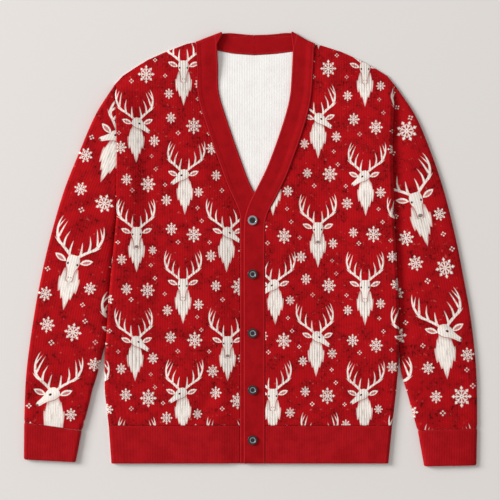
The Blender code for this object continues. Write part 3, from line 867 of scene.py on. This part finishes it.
def within(distance, blur=INK_BLUR):
    """1 where the distance is under 0, fading out over the blur."""
    return Number.work("MULTIPLY_ADD", distance, -1.0 / blur, 0.5, clamp=True)


def drawn(value, rows, column=1):
    """A drawn curve: the number in this column of the rows, at the value in their first column."""
    low, high = rows[0][0], rows[-1][0]
    heights = [row[column] for row in rows]
    bottom, span = min(heights), max(heights) - min(heights)
    node = add_node("FloatCurve", {"Value": (value - low) / (high - low)})
    line = node.mapping.curves[0]
    places = [((row[0] - low) / (high - low), (row[column] - bottom) / span) for row in rows]
    line.points[0].location, line.points[1].location = places[0], places[-1]
    for place in places[1:-1]:
        line.points.new(*place)
    node.mapping.update()
    return Number(node.outputs["Value"]) * span + bottom


def vector(x, y, z):
    return add_node("CombineXYZ", {"X": x, "Y": y, "Z": z}).outputs["Vector"]


def noise(x, y, scale, seed, detail=2.0, roughness=0.6):
    """A cloudy number about 0.5 at a place of the cloth."""
    entries = {"Vector": vector(x, y, seed), "Scale": scale, "Detail": detail, "Roughness": roughness}
    return Number(add_node("TexNoise", entries).outputs["Fac"])


def chance(a, b, seed):
    """A number from 0 to 1 that is the same all over one repeat of the print."""
    node = add_node("TexWhiteNoise", {"Vector": vector(a, b, seed)}, noise_dimensions="3D")
    return Number(node.outputs["Value"])


def blend(amount, a, b, kind="MIX"):
    """Colour a with this amount of colour b over it."""
    entries = {"Factor": amount, "A": a, "B": b}
    return add_node("Mix", entries, data_type="RGBA", blend_type=kind).outputs["Result"]


def colour(red, green, blue):
    """A colour as a screen shows it, 0 to 255, as the light that it sends back."""

    def light(part):
        part /= 255
        return part / 12.92 if part <= 0.04045 else ((part + 0.055) / 1.055) ** 2.4

    return light(red), light(green), light(blue)


def in_millimetres(socket):
    """X and Y of a place that is given in metres."""
    node = add_node("SeparateXYZ", {"Vector": socket})
    return Number(node.outputs["X"]) * METRE, Number(node.outputs["Y"]) * METRE


def map_of(name):
    """Across and along, in millimetres, on the piece's own map."""
    return in_millimetres(add_node("UVMap", uv_map=name).outputs["UV"])


# ---------------------------------------------------------------- the print, in millimetres

REPEAT_WIDE = 77.0
REPEAT_TALL = 185.0
STAG_UP = 38.0  # the forehead's height above the middle of its repeat

# Antler branches of the half at +X, from the head out: height, distance from the middle, half width
BRANCHES = (
    (
        (-1.0, 5.0, -0.2), (1.0, 6.5, 2.6), (7.0, 13.5, 3.1), (13.0, 22.0, 3.0), (19.0, 29.5, 2.4),
        (27.0, 33.5, 1.8), (37.0, 35.0, 1.3), (46.0, 33.5, 0.7), (51.0, 31.5, -0.1),
    ),
    ((2.0, 8.8, -0.2), (3.5, 8.8, 1.7), (12.0, 8.4, 1.2), (21.0, 7.2, 0.2), (22.0, 7.0, -0.2)),
    ((9.0, 19.0, -0.2), (11.0, 19.3, 1.7), (20.0, 19.6, 1.3), (28.0, 17.6, 0.7), (34.0, 15.0, -0.2)),
    ((21.0, 30.5, -0.2), (23.0, 30.0, 1.5), (32.0, 27.6, 1.2), (40.0, 25.0, 0.6), (46.0, 22.5, -0.2)),
    ((33.0, 34.6, -0.2), (35.0, 34.0, 1.2), (41.0, 31.0, 0.8), (48.0, 26.8, -0.2)),
    ((12.0, 22.0, -0.2), (13.5, 25.0, 1.6), (17.5, 31.0, 1.0), (22.0, 36.5, -0.2)),
)
# Half widths down a head that looks ahead, one that looks aside, and the neck: height, half width
HEAD_AHEAD = (
    (-35.0, -0.6), (-34.2, 2.2), (-31.0, 4.3), (-26.0, 4.7), (-19.0, 5.6),
    (-12.0, 8.0), (-6.0, 8.7), (-1.0, 7.8), (1.8, 6.0), (2.8, -0.6),
)
HEAD_ASIDE = (
    (-32.5, -0.6), (-31.6, 1.9), (-28.5, 3.0), (-23.0, 3.6), (-17.0, 4.9),
    (-11.0, 7.4), (-5.0, 8.4), (0.0, 7.0), (2.6, 4.2), (3.6, -0.6),
)
NECK = (
    (-76.0, -0.8), (-68.0, 1.8), (-60.0, 6.0), (-52.0, 10.6), (-44.0, 13.4),
    (-36.0, 13.8), (-29.0, 11.6), (-22.0, 8.4), (-14.0, 6.4), (-12.0, -0.8),
)
EAR_PLACE = (17.5, -3.6, 24.0)  # middle, and turn in degrees
EAR_LONG, EAR_WIDE = 9.0, 3.9  # halves
# Ovals of a face: middle, half width, half height
EYE_AHEAD = (6.4, -9.5, 1.3, 1.7)
EYE_ASIDE = (1.2, -9.0, 1.5, 2.1)
NOSE = (0.0, -30.5, 3.4, 2.6)
NOSTRIL = (1.9, -28.5, 0.9, 0.8)
MUZZLE = (0.6, -31.2, 2.0, 1.5)
MOUTH = (-1.7, -26.5, 0.25, 3.2)  # a bar, not an oval
ASIDE_TURN = 0.92  # radians that a head turns to look aside
ANTLER_SPREAD = 0.88
ANTLER_LEAN = 0.12  # of a head that looks aside
HEAD_PIVOT = -6.0
NECK_ASIDE = 2.5
TUFT_WIDE = 5.2
TUFT_DEEP = 15.0
JAW_HALF = 0.5  # half the width of its line, whose upper end is at these heights
JAW_TOP = -2.0
JAW_TOP_AHEAD = -14.0


def turned(x, y, about_x, about_y, degrees):
    """Places after a turn of the picture about a point."""
    cos, sin = math.cos(math.radians(degrees)), math.sin(math.radians(degrees))
    off_x, off_y = x - about_x, y - about_y
    return off_x * cos + off_y * sin, off_y * cos - off_x * sin


def oval(x, y, middle_x, middle_y, half_wide, half_tall):
    """1 in an oval and 0 outside it."""
    off_x, off_y = (x - middle_x) / half_wide, (y - middle_y) / half_tall
    reach = root(off_x * off_x + off_y * off_y)
    return within((reach - 1.0) * min(half_wide, half_tall))


def leaf(along, off, half_long, half_wide):
    """1 in a leaf that is pointed at both ends, and 0 outside it."""
    pointed = (along / half_long) * (along / half_long)
    return within(abs(off) - half_wide * (1.0 - pointed))


def use_group(draw, results, **entries):
    """What a drawing gives, as numbers. Its node group is made the first time that it is used."""
    around = Number.tree
    group = bpy.data.node_groups.get(draw.__name__)
    if not group:
        group = Number.tree = bpy.data.node_groups.new(draw.__name__, "ShaderNodeTree")
        for way, names in (("INPUT", entries), ("OUTPUT", results)):
            for name in names:
                group.interface.new_socket(name, in_out=way, socket_type="NodeSocketFloat")
        source, sink = group.nodes.new("NodeGroupInput"), group.nodes.new("NodeGroupOutput")
        values = draw(**{name: Number(source.outputs[name]) for name in entries})
        for entry, value in zip(sink.inputs, values):
            feed(entry, value)
        Number.tree = around
    node = add_node("Group", entries, node_tree=group)
    return [Number(node.outputs[name]) for name in results]


def stag(x, y, look, nosed):
    """A stag's head with its forehead at 0, 0: shares of cream, red and dark ink, and of shade. Look is
    -1, 0 or 1, the way that it faces, and nosed is 1 for a broad nose and 0 for two nostrils."""
    aside = abs(look)
    ahead = 1.0 - aside
    turn = look * ASIDE_TURN
    cos, sin = cosine(turn), sine(turn)
    up = y - HEAD_PIVOT
    face_x = x * cos + up * sin
    face_y = up * cos - x * sin + HEAD_PIVOT
    antler_x = abs(x + look * up * ANTLER_LEAN) / ANTLER_SPREAD
    antlers = most(*(within(abs(antler_x - drawn(y, rows)) - drawn(y, rows, 2)) for rows in BRANCHES))
    ear_along, ear_off = turned(abs(x), y, *EAR_PLACE)
    ear = leaf(ear_along, ear_off, EAR_LONG, EAR_WIDE)
    inner_ear = leaf(ear_along, ear_off + 0.4, EAR_LONG * 0.68, EAR_WIDE * 0.5)
    head_half = choose(aside, drawn(face_y, HEAD_ASIDE), drawn(face_y, HEAD_AHEAD))
    head_edge = abs(face_x) - head_half
    head = within(head_edge)
    neck_x = abs(x + look * NECK_ASIDE)
    tufts = abs(fraction(neck_x / TUFT_WIDE + 0.2) - 0.5) * TUFT_DEEP
    neck_edge = neck_x - drawn(y - tufts * soft_step(neck_x, 1.0, 6.0), NECK)
    neck = within(neck_edge)
    cream = most(antlers, ear, head, neck)
    # Drawn lines: the jaw over the neck, the eyes, and the nose, nostrils or muzzle and mouth
    lower_side = choose(aside, face_x * look < 1.0, face_y < JAW_TOP_AHEAD)
    jaw = within(abs(head_edge) - JAW_HALF) * lower_side * neck * (face_y < JAW_TOP)
    eye_ahead = oval(abs(face_x), face_y, *EYE_AHEAD)
    eyes = choose(aside, oval(face_x * look, face_y, *EYE_ASIDE), eye_ahead)
    nose = oval(face_x, face_y, *NOSE) * nosed * 0.75
    nostrils = oval(abs(face_x), face_y, *NOSTRIL) * (1.0 - nosed) * 0.8
    mouth_x, mouth_y, half_wide, half_tall = MOUTH
    from_mouth = most(abs(face_x * look - mouth_x) - half_wide, abs(face_y - mouth_y) - half_tall)
    marks_aside = most(oval(face_x, face_y, *MUZZLE) * 0.9, within(from_mouth) * 0.45)
    dark = most(jaw * 0.15, eyes, most(nose, nostrils) * ahead, marks_aside * aside)
    # Fur: fine streaks down the neck, a shade below the jaw and a blush along the edges
    only_neck = neck * (1.0 - head)
    fur = soft_step(noise(x * 0.8, y * 0.07, 1.0, seed=4.0, detail=3.0), 0.50, 0.70)
    below_jaw = (1.0 - soft_step(head_edge, 0.0, 7.0)) * only_neck
    rim = soft_step(neck_edge, -3.0, -0.2) * only_neck
    face_side = soft_step(face_x, 0.5, 7.0) * head
    blush = soft_step(noise(x * 0.3, y * 0.3, 1.0, seed=9.0, roughness=0.5), 0.46, 0.66)
    shade = most(fur * (only_neck * 0.50 + head * 0.22), below_jaw * 0.45, face_side * 0.25)
    red = most(inner_ear * 0.8, jaw * 0.8, rim * 0.45, antlers * blush * 0.30)
    return cream, red, dark, shade


def snowflake(x, y, radius):
    """A flake of eight arms about 0, 0, of the given radius: share of ink. All of its sizes are shares
    of the radius, but for the turns."""
    x, y = x / radius, y / (radius * 1.10)
    reach = root(x * x + y * y)
    turn = Number.work("ARCTAN2", y, x) / (math.pi / 4)
    folded = abs(fraction(turn + 8.5) - 0.5) * (math.pi / 4)
    slanted = fraction((turn + 8.5) / 2.0) > 0.5
    along = reach * cosine(folded)
    off = reach * sine(folded)
    tip = choose(slanted, 0.76, 0.80)
    arm = within(most(off - 0.052, abs(along - 0.45) - 0.34), 0.08)
    diamond = within((abs(along - tip) / 0.19 + off / 0.150 - 1.0) * 0.10, 0.07)
    barb = within(most(abs(off - (along - 0.36) * 0.80) - 0.050, abs(along - 0.47) - 0.12), 0.08)
    core = within(abs(reach - 0.11) - 0.06, 0.08)
    return (most(arm, diamond, barb, core),)


# Flakes and clusters of a repeat, at its lower right, lower left, upper right and upper left: place and
# radius. A split is the x and the y that part these quarters.
FLAKES = ((18.0, -66.0, 12.6), (-19.0, -60.0, 9.4), (27.0, 2.0, 8.6), (-27.0, -14.0, 9.2))
FLAKE_SPLIT = (0.0, -38.0)
CLUSTERS = ((31.0, -46.0, 4.6), (-9.0, -82.0, 5.0), (24.0, -24.0, 4.2), (-31.0, 15.0, 4.4))
CLUSTER_SPLIT = (6.0, -36.0)
# Ranges of the chance moves: of a column or a flake along the ribs, and of a stag or a flake across
DRIFT_ALONG = 12.0
DRIFT_STAG = 4.0
DRIFT_FLAKE = 5.0


def quarter_of(x, y, split):
    """1 for the right half of the repeat, and 1 for its lower part."""
    return x > split[0], y < split[1]


def pick(right, low, table):
    """The row of the table for this quarter."""
    for low_right, low_left, high_right, high_left in zip(*table):
        yield choose(low, choose(right, low_right, low_left), choose(right, high_right, high_left))


def drift(a, b, seed, reach):
    return (chance(a, b, seed) - 0.5) * reach


def festive_print(x, y):
    """Stags' heads in a half-drop repeat, with flakes and clusters of dots between them."""
    column = floor(x / REPEAT_WIDE)
    half_drop = fraction(column / 2.0) * 2.0
    y = y + half_drop * (REPEAT_TALL / 2) + drift(column, 0.0, 3.0, DRIFT_ALONG)
    row = floor(y / REPEAT_TALL)
    in_x = x - (column + 0.5) * REPEAT_WIDE + drift(column, row, 1.0, DRIFT_STAG)
    in_y = y - (row + 0.5) * REPEAT_TALL
    kind = fraction((column + row * 2.0) / 4.0 + 0.01) * 4.0
    look = (kind > 2.5) - (kind > 1.5) * (kind < 2.5)
    nosed = fraction((kind + 0.02) / 2.0) > 0.4
    inks = ("cream", "red", "dark", "shade")
    cream, red, dark, shade = use_group(stag, inks, x=in_x, y=in_y - STAG_UP, look=look, nosed=nosed)
    right, low = quarter_of(in_x, in_y, FLAKE_SPLIT)
    flake_x, flake_y, radius = pick(right, low, FLAKES)
    quarter = column * 2.0 + right, row * 2.0 + low
    flake_x = flake_x + drift(*quarter, 5.0, DRIFT_FLAKE)
    flake_y = flake_y + drift(*quarter, 6.0, DRIFT_ALONG)
    radius = radius * (0.86 + 0.26 * chance(*quarter, 7.0))
    (flake,) = use_group(snowflake, ("ink",), x=in_x - flake_x, y=in_y - flake_y, radius=radius)
    spot_x, spot_y, size = pick(*quarter_of(in_x, in_y, CLUSTER_SPLIT), CLUSTERS)
    off_x, off_y = abs(in_x - spot_x), abs(in_y - spot_y)
    dots = within(abs(most(off_x, off_y) - size * 0.52) + least(off_x, off_y) - size * 0.30)
    dots = dots * (0.48 + 0.52 * chance(column, row, 8.0))
    speck = soft_step(noise(x, y, 0.16, seed=2.0), 0.66, 0.74)
    return most(cream, flake, dots), red * cream, dark, shade, speck


# ---------------------------------------------------------------- finishes

WALE, COURSE = 1.4, 1.1  # millimetres
RIB = RIB_PITCH * METRE


def finish(name):
    """The named finish, made the first time that it is asked for."""
    made = bpy.data.materials.get(name)
    if not made:
        made = bpy.data.materials.new(name)
        made.use_nodes = True
        Number.tree = made.node_tree
        FINISHES[name](made.node_tree.nodes["Principled BSDF"])
    return made


def groove_between_ribs(across, slope):
    """1 at the bottom of the valley between two ribs, and 0 on the ribs: where painted shade darkens the
    knit.
    """
    return 1.0 - soft_step(abs(sine(across * (math.pi / RIB))), 0.0, slope)


def fibres(shader, fine, amount, surface, darkest):
    """The surface with its fibres, which are darker and duller between."""
    feed(shader.inputs["Roughness"], 0.78 + 0.14 * fine)
    fibre = blend(soft_step(fine, 0.3, 0.7), (darkest,) * 3, (1.0,) * 3)
    return blend(amount, surface, fibre, "MULTIPLY")


def knit(shader, surface, across, along):
    """Gives the shader its colour, a soft sheen, and stitches: a V in each wale of each course."""
    leg = abs(fraction(across / WALE) - 0.5)
    loop = 0.5 + 0.5 * sine((along / COURSE + leg * 1.3) * math.tau)
    height = loop * (0.35 + 0.65 * (1.0 - leg * 2.0))
    bump = add_node("Bump", {"Strength": 0.52, "Distance": 0.0003, "Height": height})
    feed_all(shader, {"Base Color": surface, "Normal": bump.outputs["Normal"]})
    feed_all(shader, {"Sheen Weight": 0.02, "Sheen Roughness": 0.5, "Specular IOR Level": 0.10})


def printed(shader, rib_shade_amount):
    """Red knit with a cream print, and painted shade in the valleys between its ribs."""
    across, along = map_of("knit")
    x, y = map_of("print")
    inks = ("cream", "red", "dark", "shade", "speck")
    cream, red, dark, shade, speck = use_group(festive_print, inks, x=x, y=y)
    clouds = soft_step(noise(x, y, 0.045, seed=1.0), 0.40, 0.64)
    sprigs = soft_step(noise(x, y * 0.8, 0.25, seed=8.0), 0.52, 0.64)
    ground = blend(clouds * (0.30 + 0.70 * sprigs), colour(178, 8, 18), colour(98, 0, 4))
    ground = blend(speck * 0.34, ground, colour(220, 120, 110))
    wool = blend(shade, colour(254, 245, 236), colour(156, 134, 124))
    wool = blend(red, wool, colour(196, 52, 52))
    wool = blend(dark, wool, colour(70, 14, 16))
    surface = blend(cream, ground, wool)
    uneven = soft_step(noise(across, along, 0.035, seed=6.0, roughness=0.5), 0.30, 0.62)
    # Painted shade: the valleys between the ribs are darkened, unevenly and most on the cream print
    valley_shade = groove_between_ribs(across, 0.50) * uneven * (0.18 + 0.82 * cream)
    surface = blend(valley_shade * rib_shade_amount, surface, colour(58, 8, 10))
    fine = noise(across, along * 0.16, 1.6, seed=5.0)
    knit(shader, fibres(shader, fine, 0.30, surface, 0.72), across, along)


def plain_knit(shader, main, deep, rib_shade_amount=0.0, stitch_highlight=False, uneven=0.30):
    """Knit of one colour, a little uneven, with painted shade in the valleys between its ribs, or with a
    painted highlight on the stitched line along a band's edges.
    """
    across, along = map_of("knit")
    clouds = noise(across, along, 0.05, seed=7.0, detail=3.0)
    surface = blend(soft_step(clouds, 0.35, 0.7), main, deep)
    surface = fibres(shader, noise(across, along * 0.14, 1.5, seed=3.0), uneven, surface, 0.68)
    if rib_shade_amount:
        # Painted shade in the valleys between the ribs, in uneven streaks
        streaks = soft_step(noise(across, along * 0.12, 0.16, seed=9.0, roughness=0.5), 0.34, 0.62)
        valley_shade = groove_between_ribs(across, 0.55) * streaks
        surface = blend(valley_shade * rib_shade_amount, surface, tuple(part * 0.25 for part in deep))
    if stitch_highlight:
        # Painted highlight: a lighter line on the stitched bead along each edge of the band
        from_side = least(across, BAND_WIDTH * METRE - across)
        line = 1.0 - soft_step(abs(from_side - BEAD_IN * METRE), 0.4, 1.5)
        surface = blend(line * 0.28, surface, colour(196, 44, 52))
    knit(shader, surface, across, along)


def glossy(shader, main, worn):
    """Polished button plastic with light wear. On a black button's dish the main colour is a painted
    reflection instead, a light grey that the same noise breaks into glints.
    """
    wear_and_glint_breaks = noise(*in_millimetres(add_node("TexCoord").outputs["Object"]), 0.8, seed=1.0, detail=3.0)
    surface = blend(soft_step(wear_and_glint_breaks, 0.4, 0.75), main, worn)
    feed_all(shader, {"Base Color": surface, "Roughness": 0.16 + 0.14 * wear_and_glint_breaks})
    feed_all(shader, {"Coat Weight": 0.6, "Coat Roughness": 0.12})


def black_thread(shader):
    x, y = in_millimetres(add_node("TexCoord").outputs["Object"])
    twist = 0.5 + 0.5 * sine((x + y * 0.6) * 18.0)
    surface = blend(twist, (0.010, 0.010, 0.011), (0.045, 0.042, 0.045))
    feed_all(shader, {"Base Color": surface, "Roughness": 0.7})


def pale_floor(shader):
    surface = colour(226, 222, 219)
    feed_all(shader, {"Base Color": surface, "Roughness": 0.9, "Specular IOR Level": 0.1})


INSIDE, INSIDE_DEEP = colour(253, 250, 247), colour(248, 244, 241)
FINISHES = {
    "floor": pale_floor,
    # The rib amount given to each knit is how far painted shade darkens the valleys between its ribs
    "printed": partial(printed, rib_shade_amount=0.78),
    "sleeve": partial(printed, rib_shade_amount=0.26),
    "trim": partial(plain_knit, main=colour(176, 14, 24), deep=colour(160, 8, 17), rib_shade_amount=0.14),
    "inside": partial(plain_knit, main=INSIDE, deep=INSIDE_DEEP, rib_shade_amount=0.10, uneven=0.15),
    "band": partial(plain_knit, main=colour(168, 8, 18), deep=colour(154, 5, 13), stitch_highlight=True),
    "button": partial(glossy, main=(0.012, 0.012, 0.016), worn=(0.032, 0.032, 0.040)),
    "grey_button": partial(glossy, main=(0.28, 0.29, 0.32), worn=(0.21, 0.22, 0.25)),
    # A black button's dish: a light grey painted reflection, broken into glints by the noise
    "dish": partial(glossy, main=(0.29, 0.30, 0.33), worn=(0.06, 0.06, 0.07)),
    "thread": black_thread,
}


# ---------------------------------------------------------------- floor, light and camera

PIXEL = 0.0017  # metres of the floor in each of the 500 pixels across the picture
CAMERA_HEIGHT = 3.0
SENSOR = 36
LAMP_PLACE = (-8.8, 3.3, 4.9)
LAMP_SIZE = 4.2
LAMP_POWER = 1240
ROOM_LIGHT = (1.0, 0.98, 0.965, 1)
ROOM_STRENGTH = 0.485
FLOOR_DROP = 0.0002


def studio():
    select_only()
    bpy.ops.mesh.primitive_plane_add(size=6, location=(0, 0, -FLOOR_DROP))
    ground = bpy.context.object
    ground.name = "floor"
    apply_place()
    ground.data.materials.append(finish("floor"))
    bpy.ops.object.light_add(type="AREA", location=LAMP_PLACE)
    lamp = bpy.context.object
    lamp.name = "window_light"
    lamp.data.shape = "SQUARE"
    lamp.data.size = LAMP_SIZE
    lamp.data.energy = LAMP_POWER
    lamp.rotation_euler = (-lamp.location).to_track_quat("-Z", "Y").to_euler()
    scene = bpy.context.scene
    scene.world = bpy.data.worlds.new("soft_room")
    scene.world.use_nodes = True
    room = scene.world.node_tree.nodes["Background"]
    room.inputs["Color"].default_value = ROOM_LIGHT
    room.inputs["Strength"].default_value = ROOM_STRENGTH
    scene.view_settings.view_transform = "Standard"
    bpy.ops.object.camera_add(location=(-PIXEL / 2, -PIXEL, CAMERA_HEIGHT), rotation=(0, 0, 0))
    scene.camera = bpy.context.object
    scene.camera.data.sensor_width = SENSOR
    scene.camera.data.lens = SENSOR * CAMERA_HEIGHT / (500 * PIXEL)
    scene.camera.data.clip_end = 20


studio()
for side in SIGN:
    nodes = f"front_{side}", f"hem_front_{side}"
    panel_and_hem(Front(side), nodes, (FRONT_ROWS, HEM_ROWS))
back_nodes = "back_panel", "hem_back"
panel_and_hem(Back(), back_nodes, (BACK_ROWS, BACK_HEM_ROWS))
for make in (sleeve, cuff, band):
    for side in SIGN:
        make(side)
buttons()
